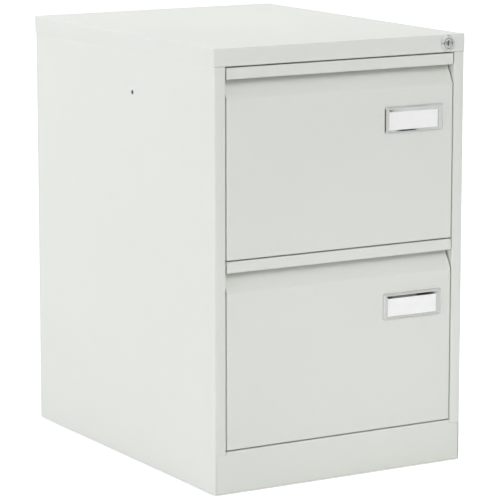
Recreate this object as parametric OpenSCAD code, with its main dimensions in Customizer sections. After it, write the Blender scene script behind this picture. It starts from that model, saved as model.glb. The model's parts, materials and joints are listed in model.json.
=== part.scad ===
// Two-drawer steel filing cabinet.
// The floor is at z = 0, the front faces -Y, and the drawers slide out along -Y.

/* [Case] */
// Width over the top cap
case_w = 470; // [390:1:565]
// Depth from the front face to the back of the top cap
case_d = 622; // [515:1:750]
// Height from the floor to the top of the cap
case_h = 711; // [590:1:855]
// Thickness of the sheet steel
sheet_t = 0.9; // [0.7:0.1:1.1]
// Thickness of the top cap's sheet
cap_t = 1.0; // [0.8:0.1:1.4]
// Inner radius of every sheet bend
bend_r = 0.8; // [0.5:0.1:1.0]
// Height of the top cap's turned-down edge
cap_lip = 29; // [27:1:36]
// Gap between the cap's edge and the panels inside it
cap_fit = 0.2; // [0.1:0.1:0.5]
// Height of the plinth's top edge above the floor
plinth_h = 69.4; // [56:0.1:84]
// Height of the case's lower edge above the floor
floor_gap = 1.5; // [1:0.5:4]
// Width of a stile beside the drawers
stile_w = 19.8; // [17:0.1:24]
// Depth of a stile's inner return
stile_return = 24; // [20:1:24]
// Seam left between two sheets that meet edge to edge
seam = 0.1; // [0.1:0.1:0.5]
// Radius of the hole in each side panel
side_hole_r = 3.3; // [2:0.1:4]
// Distance of that hole behind the front face
side_hole_back = 268.5; // [200:0.5:340]
// Distance of that hole below the top of the case
side_hole_drop = 95.5; // [60:0.5:160]

/* [Drawer fronts] */
// Gap above and below a drawer front
front_gap = 2.2; // [1.5:0.1:3.5]
// Gap between a drawer front and a stile
side_gap = 2; // [1.5:0.1:2.5]
// Distance from the top of a front down to the fold of its finger grip
grip_h = 50; // [42:1:60]
// Rise of the grip's sloping panel
grip_rise = 40; // [33:1:40]
// Depth of the finger grip
grip_depth = 22; // [18:1:26]
// Height of the lip over the grip
lip_h = 18; // [15:1:21]
// Depth of the returns at the edges of a front
front_return = 18; // [14:1:21]

/* [Drawer boxes] */
// Distance from the top of a front down to the top of the drawer's sides
box_drop = 41; // [38:1:90]
// Height of a drawer's bottom panel above the bottom edge of its front
box_floor = 8; // [6:1:14]
// Gap between the back of a drawer and the back panel
box_rear_gap = 42; // [35:1:60]
// Width of the turned edges of a drawer's sides and bottom
box_flange = 8; // [6:0.5:9]
// Distance of a rail for suspension files inside the drawer's side
file_rail_in = 4.5; // [3:0.5:8]
// Height of a file rail above the drawer's side
file_rail_h = 14; // [10:1:16]
// Thickness of a file rail
file_rail_t = 1.5; // [1:0.1:2]

/* [Runners] */
// Thickness of a telescopic runner
runner_w = 12.7; // [12:0.1:14]
// Height of a runner's fixed member
runner_h = 45; // [42:1:54]
// Thickness of a runner member
runner_t = 1.2; // [1:0.1:1.3]
// Height of a runner's middle above the bottom edge of the front
runner_z = 110; // [80:1:150]
// Distance from the front face back to the runners
runner_set = 28; // [27:1:29]
// Gap between a runner and the stile's edge beside it
web_gap = 1.8; // [1.5:0.1:3]
// Distance from the back of the runners to the back of the case
runner_rear = 44; // [40:1:60]
// Radius of a ball between the fixed and middle members
outer_ball_r = 2.3; // [2:0.1:2.4]
// Radius of a ball between the middle and drawer members
inner_ball_r = 2.05; // [1.8:0.05:2.2]
// Clearance on each side of a ball
ball_fit = 0.1; // [0.05:0.05:0.2]
// Balls in one row of a cage
row_balls = 4; // [3:1:8]
// Length of a ball cage
cage_l = 240; // [180:1:260]
// Thickness of a ball cage
cage_t = 1.2; // [0.8:0.1:1.6]

/* [Label holders] */
// Width of a label holder
holder_w = 112; // [90:1:130]
// Height of a label holder
holder_h = 43; // [36:1:50]
// Distance a label holder stands proud of the drawer front
holder_proud = 3.2; // [3:0.1:5]
// Distance of the holder's middle inside the right-hand edge of the front
holder_in = 76; // [60:1:150]
// Distance of the holder's middle below the fold of the finger grip
holder_drop = 51; // [30:1:90]
// Width of the holder's frame at each side of the card
holder_side = 9; // [5:0.5:12]
// Width of the holder's frame above the card
holder_head = 9.2; // [5:0.1:11]
// Width of the holder's frame below the card
holder_foot = 4.8; // [4:0.1:8]
// Thickness of the card
card_t = 0.4; // [0.2:0.1:0.5]

/* [Lock] */
// Distance of the lock inside the right-hand side of the cap
lock_in = 33.5; // [31:0.5:35]
// Radius of the lock's bezel
bezel_r = 13.9; // [12:0.1:14]
// Distance the bezel stands proud
bezel_proud = 3; // [2:0.1:4]
// Radius of the lock's barrel
barrel_r = 9.5; // [9:0.1:10]
// Radius of the turning core
core_r = 8; // [7:0.1:8.2]
// Running clearance round the core
core_fit = 0.05; // [0.03:0.01:0.1]
// Height of the keyway
keyway_h = 9; // [7:0.5:11]
// Width of the keyway
keyway_w = 1.8; // [1.2:0.1:2.4]
// Lean of the keyway while unlocked
keyway_lean = 9; // [0:1:15]
// Throw of the cam's pin from the core's axis
cam_throw = 6; // [5.5:0.1:6.5]
// Radius of the cam's pin
cam_pin_r = 1.5; // [1.2:0.1:2]
// Thickness of the lock bar and of the anti-tilt bar
bar_t = 2.5; // [2:0.1:2.5]
// Width of those bars
bar_w = 14; // [12:1:14]
// Distance of a striker's top below the top of the drawer's side
striker_drop = 37; // [22:1:60]
// Height of a striker's tab
striker_h = 8; // [6:1:10]
// Gap between a hook at rest and a striker
hook_gap = 2; // [1:0.1:3]

/* [Feet] */
// Radius of a levelling foot's pad
foot_r = 15; // [12:1:18]
// Radius of a foot's threaded stud
stud_r = 4; // [3:0.5:5]
// Distance of a foot inside the side of the case
foot_in = 33.8; // [30:0.1:45]
// Distance of a foot behind the front, and ahead of the back
foot_set = 44; // [40:1:60]
// Height of the bracket that a foot screws through
foot_bracket_z = 24; // [18:1:30]

/* [Hidden] */
$fn = 48;
bend_steps = 4;

paint = [0.85, 0.87, 0.83];
steel = [0.66, 0.67, 0.69];
chrome = [0.82, 0.83, 0.85];

// Case faces
front_y = -case_d / 2;
back_y = case_d / 2 - cap_t - cap_fit;
side_x = case_w / 2 - cap_t - cap_fit;
side_in = side_x - sheet_t;
cap_z = case_h - cap_lip;
cap_under = case_h - cap_t;
opening_x = side_x - stile_w;
back_in = back_y - 2 * sheet_t;
edge_r = bend_r + sheet_t;
cap_edge_r = bend_r + cap_t;
base_z = plinth_h - sheet_t;
plinth_step = 5.4;
plinth_cut_z = plinth_h - plinth_step;
plinth_x = side_x - 2.6;
plinth_flange = 30;
side_hole_z = case_h - side_hole_drop;
edge_flange = 10;
rear_flange = 15;
bottom_flange = 12;
rail_return = 14;

// Drawers
front_h = (cap_z - plinth_h - 3 * front_gap) / 2;
lower_z = plinth_h + front_gap;
upper_z = lower_z + front_h + front_gap;
front_x = opening_x - side_gap;
front_in_x = front_x - sheet_t;
grip_y = front_y + grip_depth;
grip_z = front_h - grip_h;
inner_front_y = grip_y + sheet_t;
box_y = inner_front_y + sheet_t;
box_back = back_in - box_rear_gap;
box_x = opening_x - web_gap - runner_w;
box_in = box_x - sheet_t;
back_face_y = box_back - 2 * sheet_t;
floor_top = box_floor + sheet_t;
box_foot = floor_top - box_flange;
box_h = front_h - box_drop;
file_rail_x = box_x - file_rail_in;
rail_seat = 3.5;
hem_w = 2.5;
hem_h = 7;

// Runners
web_x = box_x + runner_w;
runner_y = front_y + runner_set;
runner_l = case_d - runner_set - runner_rear;
outer_flange_in = runner_h / 2 - runner_t;
middle_out = outer_flange_in - 2 * (outer_ball_r + ball_fit);
middle_in = middle_out - runner_t;
drawer_out = middle_in - 2 * (inner_ball_r + ball_fit);
race_x = 9.2;
cage_y = runner_y + runner_l / 2;
cage_slot = 0.1;
cage_half = 3.2;
outer_row = outer_flange_in - outer_ball_r - ball_fit;
inner_row = middle_in - inner_ball_r - ball_fit;
ball_x = box_x + runner_w / 2 - 0.3;

// Uprights
upright_t = 1.5;
upright_w = 40;
upright_flange = 10;
front_upright_y = runner_y + 3;
rear_upright_y = runner_y + runner_l - upright_w - 12;
upright_top = case_h - 11;
rivet_r = 2;
rivet_head_r = 4;
rivet_head_t = 0.7;

// Lock and bars
lock_x = case_w / 2 - lock_in;
lock_z = case_h - cap_lip / 2;
barrel_l = 20;
barrel_end = front_y + barrel_l;
lock_nut_r = barrel_r + 3;
cam_t = 2;
cam_gap = 0.3;
bar_y = box_y + 1.2;
bar_x = side_in - 2.9 - bar_w;
bar_rise = 2 * cam_throw * sin(45);
bar_slack = 0.45;
hook_h = 16;
hook_in = opening_x - 11;
pin_r = 2.5;
pin_slot_r = 2.8;
striker_z = box_h - striker_drop;
pin_x = bar_x + bar_w / 2;
pin_low_z = lower_z + striker_z + 35;
pin_high_z = upper_z + striker_z + 40;
striker_x = opening_x - 5;
striker_y = bar_y + bar_t + 0.5;
striker_t = 2;

// Label holders
holder_x = front_x - holder_in;
holder_z = grip_z - holder_drop;
window_w = holder_w - 2 * holder_side;
window_h = holder_h - holder_head - holder_foot;
window_drop = (holder_head - holder_foot) / 2;

// Feet
foot_x = side_x - foot_in;
foot_y = case_d / 2 - foot_set;
bracket_t = 1.5;
bracket_w = 50;
nut_h = 6.5;

// Geometry helpers: a path is a list of corners, and the sheet lies on the path's left
// where t is positive and on its right where t is negative.
function unit(v) = v / norm(v);
function left_of(v) = [-v[1], v[0]];
function turned(n, a) = [n[0] * cos(a) - n[1] * sin(a), n[0] * sin(a) + n[1] * cos(a)];
function bend(p, i, t, r) =
  let(d0 = unit(p[i] - p[i - 1]))
  let(d1 = unit(p[i + 1] - p[i]))
  let(n0 = left_of(d0))
  let(n1 = left_of(d1))
  let(a = atan2(d0[0] * d1[1] - d0[1] * d1[0], d0 * d1))
  let(s = a > 0 ? 1 : -1)
  let(radius = a * t > 0 ? r + abs(t) : r)
  let(c = p[i] + s * radius * (n0 + n1) / (1 + n0 * n1))
  [for (k = [0:bend_steps])
    let(n = turned(n0, a * k / bend_steps))
    [c - s * radius * n, n]];
function sheet_line(p, t, r) =
  let(last = len(p) - 1)
  concat([[p[0], left_of(unit(p[1] - p[0]))]],
    [for (i = [1:1:last - 1]) each bend(p, i, t, r)],
    [[p[last], left_of(unit(p[last] - p[last - 1]))]]);
function arc(c, r, a0, a1) =
  [for (k = [0:bend_steps])
    let(a = a0 + (a1 - a0) * k / bend_steps)
    c + r * [cos(a), sin(a)]];

module sheet(p, t = sheet_t, r = bend_r) {
  line = sheet_line(p, t, r);
  last = len(line) - 1;
  outer = [for (q = line) q[0]];
  inner = [for (k = [last:-1:0]) line[k][0] + t * line[k][1]];
  polygon(concat(outer, inner));
}

// Rectangle with a radius for each corner, from the low corner anticlockwise
module round_rect(lo, hi, r) {
  polygon(concat(
    arc([lo[0] + r[0], lo[1] + r[0]], r[0], 180, 270),
    arc([hi[0] - r[1], lo[1] + r[1]], r[1], 270, 360),
    arc([hi[0] - r[2], hi[1] - r[2]], r[2], 0, 90),
    arc([lo[0] + r[3], hi[1] - r[3]], r[3], 90, 180)));
}

module along_x(x0, x1) {
  translate([x0, 0, 0]) rotate([90, 0, 90]) linear_extrude(x1 - x0) children();
}

module along_y(y0, y1) {
  translate([0, y1, 0]) rotate([90, 0, 0]) linear_extrude(y1 - y0) children();
}

module along_z(z0, z1) {
  translate([0, 0, z0]) linear_extrude(z1 - z0) children();
}

module block(lo, hi) {
  translate(lo) cube(hi - lo);
}

module rod_x(x0, x1, y, z, r) {
  translate([x0, y, z]) rotate([0, 90, 0]) cylinder(h = x1 - x0, r = r);
}

module rod_y(y0, y1, x, z, r) {
  translate([x, y1, z]) rotate([90, 0, 0]) cylinder(h = y1 - y0, r = r);
}

module mirrored() {
  mirror([1, 0, 0]) children();
}

module both_sides() {
  children();
  mirrored() children();
}

// Closed box with bent edges: its upper edges, its upright edges and its lower front edge
module cap_block(half_w, y0, y1, z0, z1, r, low_r) {
  intersection() {
    along_z(z0, z1) round_rect([-half_w, y0], [half_w, y1], [r, r, r, r]);
    along_x(-half_w, half_w) round_rect([y0, z0], [y1, z1], [low_r, 0.01, r, r]);
    along_y(y0, y1) round_rect([-half_w, z0], [half_w, z1], [0.01, 0.01, r, r]);
  }
}

module top_cap() {
  half = case_w / 2;
  color(paint) difference() {
    union() {
      difference() {
        cap_block(half, front_y, -front_y, cap_z, case_h, cap_edge_r, cap_edge_r);
        cap_block(half - cap_t, front_y + cap_t, -front_y - cap_t, cap_z - 1, cap_under,
          bend_r, 0.01);
      }
      block([-side_in, front_y + cap_t, cap_z],
        [side_in, front_y + cap_t + rail_return, cap_z + cap_t]);
    }
    rod_y(front_y - 1, front_y + cap_t + 1, lock_x, lock_z, barrel_r + cap_fit);
  }
}

module side_panel() {
  stile_top = cap_z - seam;
  color(paint) difference() {
    union() {
      along_z(floor_gap, cap_under - bend_r / 2) sheet([
        [opening_x, front_y + stile_return],
        [opening_x, front_y],
        [side_x, front_y],
        [side_x, back_y],
        [side_x - rear_flange, back_y]]);
      block([side_in - edge_flange, front_y + 40, cap_under - sheet_t],
        [side_in + 0.1, back_in - 1, cap_under]);
      block([side_in - bottom_flange, front_y + 40, floor_gap],
        [side_in + 0.1, back_in - 1, floor_gap + sheet_t]);
    }
    // Notch for the top cap's front rail
    block([opening_x - 1, front_y - 1, stile_top],
      [side_in - 0.1, front_y + stile_return + 1, case_h]);
    block([side_in - 1, front_y - 1, stile_top],
      [side_x + 1, front_y + cap_t + cap_fit + 0.5, case_h]);
    // Notch for the plinth
    block([opening_x - 1, front_y - 1, 0],
      [plinth_x + seam, front_y + stile_return + 1, plinth_cut_z]);
    rod_x(side_in - 1, side_x + 1, front_y + side_hole_back, side_hole_z, side_hole_r);
  }
}

module back_panel() {
  edge_x = side_in - bend_r - 0.2;
  color(paint) block([-edge_x, back_in, floor_gap + sheet_t],
    [edge_x, back_in + sheet_t, cap_under - 0.2]);
}

module base_pan() {
  drop = 15;
  color(paint) along_y(front_y + stile_return + 1, back_in - 0.2) sheet([
    [side_in, base_z - drop],
    [side_in, base_z],
    [-side_in, base_z],
    [-side_in, base_z - drop]]);
}

module plinth_panel() {
  flange = 18;
  mid_x = opening_x - 0.3;
  color(paint) union() {
    along_z(floor_gap, plinth_cut_z - seam) sheet([
      [-plinth_x, front_y + flange],
      [-plinth_x, front_y],
      [plinth_x, front_y],
      [plinth_x, front_y + flange]]);
    along_x(-mid_x, mid_x) sheet([
      [front_y, plinth_cut_z - 1],
      [front_y, plinth_h],
      [front_y + plinth_flange, plinth_h]], -sheet_t);
    block([-plinth_x + 2, front_y + sheet_t / 2, floor_gap],
      [plinth_x - 2, front_y + flange, floor_gap + sheet_t]);
  }
}

module top_brace() {
  half_w = 30;
  drop = 12;
  end_x = side_in - edge_flange - 0.4;
  color(paint) along_x(-end_x, end_x) sheet([
    [-half_w, cap_under],
    [-half_w, cap_under - drop],
    [half_w, cap_under - drop],
    [half_w, cap_under]]);
}

// Hat-section post on the inner face of a side panel, drilled for the runner rivets
module upright(y0) {
  y1 = y0 + upright_w;
  hollow_x = web_x + upright_t;
  difference() {
    along_z(base_z, upright_top) sheet([
      [side_in, y0 - upright_flange],
      [side_in, y0 + upright_t],
      [hollow_x, y0 + upright_t],
      [hollow_x, y1 - upright_t],
      [side_in, y1 - upright_t],
      [side_in, y1 + upright_flange]], upright_t);
    for (z = [lower_z, upper_z])
      rod_x(web_x - 1, hollow_x + 1, y0 + upright_w / 2, z + runner_z, rivet_r + 0.05);
    for (z = [pin_low_z, pin_high_z])
      rod_y(y0 - 1, y0 + upright_t + 1, pin_x, z, pin_r + 0.05);
  }
}

module foot_bracket() {
  reach = foot_x - foot_r;
  difference() {
    along_y(foot_y - bracket_w / 2, foot_y + bracket_w / 2) sheet([
      [reach, foot_bracket_z],
      [side_in, foot_bracket_z],
      [side_in, foot_bracket_z + 20]], bracket_t);
    translate([foot_x, foot_y, 0]) cylinder(h = case_h / 2, r = stud_r + 0.2);
  }
}

module foot() {
  pad_h = 8;
  rotate_extrude() polygon([
    [0, 0],
    [foot_r - 1, 0],
    [foot_r, 1],
    [foot_r, 4],
    [stud_r + 3, pad_h],
    [stud_r, pad_h],
    [stud_r, 45],
    [0, 45]]);
}

module foot_nut() {
  difference() {
    cylinder(h = nut_h, r = 1.88 * stud_r, $fn = 6);
    translate([0, 0, -1]) cylinder(h = nut_h + 2, r = stud_r + 0.05);
  }
}

module at_feet() {
  for (sx = [-1, 1])
    for (sy = [-1, 1])
      translate([sx * foot_x, sy * foot_y, 0]) children();
}

module four_corners() {
  both_sides() {
    children();
    mirror([0, 1, 0]) children();
  }
}

// Runner members, right-hand side
module fixed_rail(z0) {
  z = z0 + runner_z;
  h = runner_h / 2;
  reach = web_x - runner_t - race_x;
  color(steel) difference() {
    along_y(runner_y, runner_y + runner_l) sheet([
      [reach, z - h],
      [web_x, z - h],
      [web_x, z + h],
      [reach, z + h]], runner_t, 0.4);
    for (y = [front_upright_y, rear_upright_y])
      rod_x(web_x - 3, web_x + 1, y + upright_w / 2, z, rivet_r + 0.05);
  }
}

module middle_rail(z0) {
  z = z0 + runner_z;
  web = web_x - runner_t - rivet_head_t - 0.3;
  reach = box_x + runner_t + 0.6;
  color(steel) along_y(runner_y, runner_y + runner_l) sheet([
    [reach, z - middle_out],
    [web, z - middle_out],
    [web, z + middle_out],
    [reach, z + middle_out]], runner_t, 0.4);
}

module drawer_rail(z0) {
  z = z0 + runner_z;
  reach = box_x + race_x;
  color(steel) along_y(runner_y, runner_y + runner_l) sheet([
    [reach, z + drawer_out],
    [box_x, z + drawer_out],
    [box_x, z - drawer_out],
    [reach, z - drawer_out]], runner_t, 0.4);
}

// Balls and cages lie above and below the middle of a runner
module each_row(z0, offset) {
  both_sides()
    for (s = [-1, 1])
      translate([0, 0, z0 + runner_z + s * offset]) children();
}

module ball_places(x) {
  pitch = cage_l / row_balls;
  for (k = [0:row_balls - 1])
    translate([x, cage_y - cage_l / 2 + (k + 0.5) * pitch, 0]) children();
}

module ball_row(x, r) {
  ball_places(x) sphere(r = r, $fn = 24);
}

module cage_strip(x, r) {
  difference() {
    block([x - cage_half, cage_y - cage_l / 2, -cage_t / 2],
      [x + cage_half, cage_y + cage_l / 2, cage_t / 2]);
    ball_places(x) translate([0, 0, -cage_t]) cylinder(h = 2 * cage_t, r = r + cage_slot);
  }
}

module outer_cages(z0) {
  color(steel) each_row(z0, outer_row) cage_strip(ball_x, outer_ball_r);
}

module outer_balls(z0) {
  color(chrome) each_row(z0, outer_row) ball_row(ball_x, outer_ball_r);
}

module inner_cages(z0) {
  color(steel) each_row(z0, inner_row) cage_strip(ball_x, inner_ball_r);
}

module inner_balls(z0) {
  color(chrome) each_row(z0, inner_row) ball_row(ball_x, inner_ball_r);
}

module runner_rivets() {
  color(steel) both_sides()
    for (y = [front_upright_y, rear_upright_y])
      for (z = [lower_z, upper_z])
        translate([0, y + upright_w / 2, z + runner_z]) {
          rod_x(web_x - runner_t, web_x + upright_t, 0, 0, rivet_r);
          rod_x(web_x - runner_t - rivet_head_t, web_x - runner_t, 0, 0, rivet_head_r);
          rod_x(web_x + upright_t, web_x + upright_t + 1, 0, 0, 1.5 * rivet_r);
        }
}

// Drawer pieces, with z0 at the bottom edge of the front
module front_skin(z0) {
  corner = edge_r + 0.7;
  fold = grip_z - 1;
  lip_in = front_y + sheet_t;
  lip_z = front_h - lip_h + sheet_t;
  color(paint) translate([0, 0, z0]) union() {
    difference() {
      along_x(-front_x, front_x) sheet([
        [front_y + front_return, 0],
        [front_y, 0],
        [front_y, grip_z],
        [grip_y, grip_z + grip_rise],
        [grip_y, front_h - sheet_t],
        [lip_in, front_h - sheet_t],
        [lip_in, lip_z],
        [lip_in + hem_w, lip_z],
        [lip_in + hem_w, lip_z + hem_h]], -sheet_t);
      both_sides()
        block([front_x - corner, front_y - 1, -1],
          [front_x + 1, front_y + front_return + 1, fold]);
    }
    both_sides() along_z(0.4, fold) sheet([
      [front_x - corner, front_y],
      [front_x, front_y],
      [front_x, front_y + front_return]]);
  }
}

module inner_front(z0) {
  depth = 12;
  low = sheet_t;
  color(paint) translate([0, 0, z0]) union() {
    along_z(low + 3, grip_z - 3) sheet([
      [front_in_x, box_y - depth],
      [front_in_x, box_y],
      [-front_in_x, box_y],
      [-front_in_x, box_y - depth]]);
    block([-front_in_x + 2, inner_front_y, low], [front_in_x - 2, box_y, front_h - 0.5]);
    block([-front_in_x + 3, box_y - depth, low], [front_in_x - 3, box_y, low + sheet_t]);
  }
}

module drawer_side(z0) {
  flange_x = file_rail_x - rail_seat;
  color(paint) translate([0, 0, z0]) union() {
    along_z(box_foot, box_h) sheet([
      [box_x - box_flange, box_y],
      [box_x, box_y],
      [box_x, box_back],
      [box_x - box_flange, box_back]]);
    block([flange_x, box_y + sheet_t / 2, box_h - sheet_t],
      [box_in + 0.1, box_back - sheet_t / 2, box_h]);
  }
}

module drawer_bottom(z0) {
  color(paint) translate([0, 0, z0]) along_y(box_y + edge_r, back_face_y - 0.1) sheet([
    [box_in, box_foot],
    [box_in, floor_top],
    [-box_in, floor_top],
    [-box_in, box_foot]]);
}

module drawer_back(z0) {
  edge_x = box_in - edge_r - 0.1;
  color(paint) block([-edge_x, back_face_y, z0 + floor_top],
    [edge_x, back_face_y + sheet_t, z0 + box_h - sheet_t]);
}

module file_rails(z0) {
  color(steel) both_sides()
    block([file_rail_x - file_rail_t / 2, box_y + 2, z0 + box_h],
      [file_rail_x + file_rail_t / 2, box_back - 2, z0 + box_h + file_rail_h]);
}

module strikers(z0) {
  top = z0 + striker_z;
  color(steel) both_sides() along_z(top - striker_h, top) sheet([
    [striker_x, striker_y],
    [box_x, striker_y],
    [box_x, striker_y + 22]], -striker_t);
}

// Block whose front face is smaller than its back face by the bevel on every side
module bevelled(lo, hi, y0, y1, bevel) {
  intersection() {
    along_z(lo[1], hi[1]) polygon([
      [lo[0], y1],
      [lo[0] + bevel, y0],
      [hi[0] - bevel, y0],
      [hi[0], y1]]);
    along_x(lo[0], hi[0]) polygon([
      [y1, lo[1]],
      [y1, hi[1]],
      [y0, hi[1] - bevel],
      [y0, lo[1] + bevel]]);
  }
}

module label_holder(z0) {
  half = [holder_w, holder_h] / 2;
  win = [window_w, window_h] / 2;
  at = [holder_x, z0 + holder_z];
  hole = at - [0, window_drop];
  y0 = front_y - holder_proud;
  pocket = 2.5;
  color(chrome) difference() {
    bevelled(at - half, at + half, y0, front_y, 1.8);
    bevelled(hole + [-win[0] - 1, -win[1] - 1], hole + [win[0] + 1, win[1] + 1], front_y + 3,
      y0 - 1, 3);
    bevelled(hole - win, hole + win, front_y + 1, y0 - 1, -1.2);
    block([hole[0] - win[0] - pocket, front_y - 1, hole[1] - win[1] - pocket],
      [hole[0] + win[0] + pocket, front_y + 1, hole[1] + win[1] + pocket]);
  }
}

module label_card(z0) {
  at = [holder_x, z0 + holder_z - window_drop];
  half = [window_w, window_h] / 2 + [2.2, 2.2];
  color("white") block([at[0] - half[0], front_y - 0.9, at[1] - half[1]],
    [at[0] + half[0], front_y - 0.9 + card_t, at[1] + half[1]]);
}

// Lock
module lock_housing() {
  y0 = front_y - bezel_proud;
  color(chrome) translate([lock_x, 0, lock_z]) rotate([90, 0, 0]) rotate_extrude() polygon([
    [core_r + core_fit, -barrel_end],
    [barrel_r, -barrel_end],
    [barrel_r, -front_y],
    [bezel_r, -front_y],
    [bezel_r, -front_y + 0.7],
    [bezel_r - 1.2, -y0],
    [core_r + 1.4, -y0],
    [core_r + core_fit, -y0 - 1]]);
}

module lock_nut() {
  color(steel) difference() {
    translate([lock_x, front_y + cap_t + 4, lock_z]) rotate([90, 0, 0])
      cylinder(h = 4, r = lock_nut_r, $fn = 6);
    rod_y(front_y, front_y + 10, lock_x, lock_z, barrel_r + 0.05);
  }
}

module lock_core() {
  face = front_y - bezel_proud + 1.2;
  color(chrome) difference() {
    rod_y(face, barrel_end + cam_gap, lock_x, lock_z, core_r);
    translate([lock_x, face, lock_z]) rotate([0, keyway_lean, 0])
      block([-keyway_w / 2, -1, -keyway_h / 2], [keyway_w / 2, 12, keyway_h / 2]);
  }
}

module lock_cam() {
  y0 = barrel_end + cam_gap;
  color(steel) union() {
    rod_y(y0, y0 + cam_t, lock_x, lock_z, core_r + 1);
    rod_y(y0 + cam_t, bar_y + bar_t + 0.5, lock_x + cam_throw * cos(45),
      lock_z + cam_throw * sin(45), cam_pin_r);
  }
}

// Guide slot: the pin lies at z, and the bar travels by rise, up where it is positive
module guide_slot(z, rise) {
  low = min(z, z - rise);
  high = max(z, z - rise);
  for (end = [low, high])
    rod_y(bar_y - 1, bar_y + bar_t + 1, pin_x, end, pin_slot_r);
  block([pin_x - pin_slot_r, bar_y - 1, low], [pin_x + pin_slot_r, bar_y + bar_t + 1, high]);
}

// Flat bar with a hook for each drawer; the hooks' lower edges are at hook_z
module hook_bar(hook_z, z1, rise) {
  difference() {
    union() {
      block([bar_x, bar_y, hook_z[0] - 20], [bar_x + bar_w, bar_y + bar_t, z1]);
      for (z = hook_z)
        block([hook_in, bar_y, z], [bar_x + 1, bar_y + bar_t, z + hook_h]);
      children();
    }
    for (z = [pin_low_z, pin_high_z])
      guide_slot(z, rise);
  }
}

module lock_bar() {
  pin_z = lock_z + cam_throw * sin(45);
  slot_h = cam_pin_r + bar_slack;
  slot_x0 = lock_x + cam_throw * cos(45) - cam_pin_r - 0.6;
  slot_x1 = lock_x + cam_throw + cam_pin_r + 0.6;
  low = [for (z = [lower_z, upper_z]) z + striker_z + hook_gap];
  color(steel) difference() {
    hook_bar(low, pin_z + 5, -bar_rise)
      block([slot_x0 - 4, bar_y, pin_z - 6], [bar_x + 1, bar_y + bar_t, pin_z + 5]);
    block([slot_x0, bar_y - 1, pin_z - slot_h], [slot_x1, bar_y + bar_t + 1, pin_z + slot_h]);
  }
}

module anti_tilt_bar() {
  low = [for (z = [lower_z, upper_z]) z + striker_z - striker_h - hook_gap - hook_h];
  color(steel) mirrored() hook_bar(low, pin_high_z + 20, bar_rise);
}

module bar_guide_pins() {
  color(steel) both_sides()
    for (z = [pin_low_z, pin_high_z]) {
      rod_y(bar_y - 1.6, bar_y - 0.4, pin_x, z, 5);
      rod_y(bar_y - 0.4, front_upright_y + upright_t + 1, pin_x, z, pin_r);
      rod_y(bar_y + bar_t + 0.3, front_upright_y, pin_x, z, pin_r + 1.5);
    }
}

top_cap();
mirrored() side_panel();  // left_side_panel
side_panel();  // right_side_panel
back_panel();
base_pan();
plinth_panel();
top_brace();
color(steel) both_sides() upright(front_upright_y);  // front_uprights
color(steel) both_sides() upright(rear_upright_y);  // rear_uprights
color(steel) four_corners() foot_bracket();  // foot_brackets
color([0.15, 0.15, 0.16]) at_feet() foot();  // levelling_feet
color(steel) at_feet() translate([0, 0, foot_bracket_z + bracket_t]) foot_nut();  // foot_nuts
lock_housing();
lock_nut();
runner_rivets();
bar_guide_pins();
mirrored() fixed_rail(upper_z);  // upper_left_fixed_rail
fixed_rail(upper_z);  // upper_right_fixed_rail
mirrored() fixed_rail(lower_z);  // lower_left_fixed_rail
fixed_rail(lower_z);  // lower_right_fixed_rail
mirrored() middle_rail(upper_z);  // upper_left_middle_rail
middle_rail(upper_z);  // upper_right_middle_rail
mirrored() middle_rail(lower_z);  // lower_left_middle_rail
middle_rail(lower_z);  // lower_right_middle_rail
mirrored() drawer_rail(upper_z);  // upper_left_drawer_rail
drawer_rail(upper_z);  // upper_right_drawer_rail
mirrored() drawer_rail(lower_z);  // lower_left_drawer_rail
drawer_rail(lower_z);  // lower_right_drawer_rail
outer_cages(upper_z);  // upper_outer_cages
outer_balls(upper_z);  // upper_outer_balls
outer_cages(lower_z);  // lower_outer_cages
outer_balls(lower_z);  // lower_outer_balls
inner_cages(upper_z);  // upper_inner_cages
inner_balls(upper_z);  // upper_inner_balls
inner_cages(lower_z);  // lower_inner_cages
inner_balls(lower_z);  // lower_inner_balls
front_skin(upper_z);  // upper_front_skin
inner_front(upper_z);  // upper_inner_front
mirrored() drawer_side(upper_z);  // upper_left_side
drawer_side(upper_z);  // upper_right_side
drawer_bottom(upper_z);  // upper_bottom
drawer_back(upper_z);  // upper_back
file_rails(upper_z);  // upper_file_rails
strikers(upper_z);  // upper_strikers
label_holder(upper_z);  // upper_label_holder
label_card(upper_z);  // upper_label_card
front_skin(lower_z);  // lower_front_skin
inner_front(lower_z);  // lower_inner_front
mirrored() drawer_side(lower_z);  // lower_left_side
drawer_side(lower_z);  // lower_right_side
drawer_bottom(lower_z);  // lower_bottom
drawer_back(lower_z);  // lower_back
file_rails(lower_z);  // lower_file_rails
strikers(lower_z);  // lower_strikers
label_holder(lower_z);  // lower_label_holder
label_card(lower_z);  // lower_label_card
lock_core();
lock_cam();
lock_bar();
anti_tilt_bar();
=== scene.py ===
import json
import math
import bmesh
import bpy
from mathutils import Matrix, Vector


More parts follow.
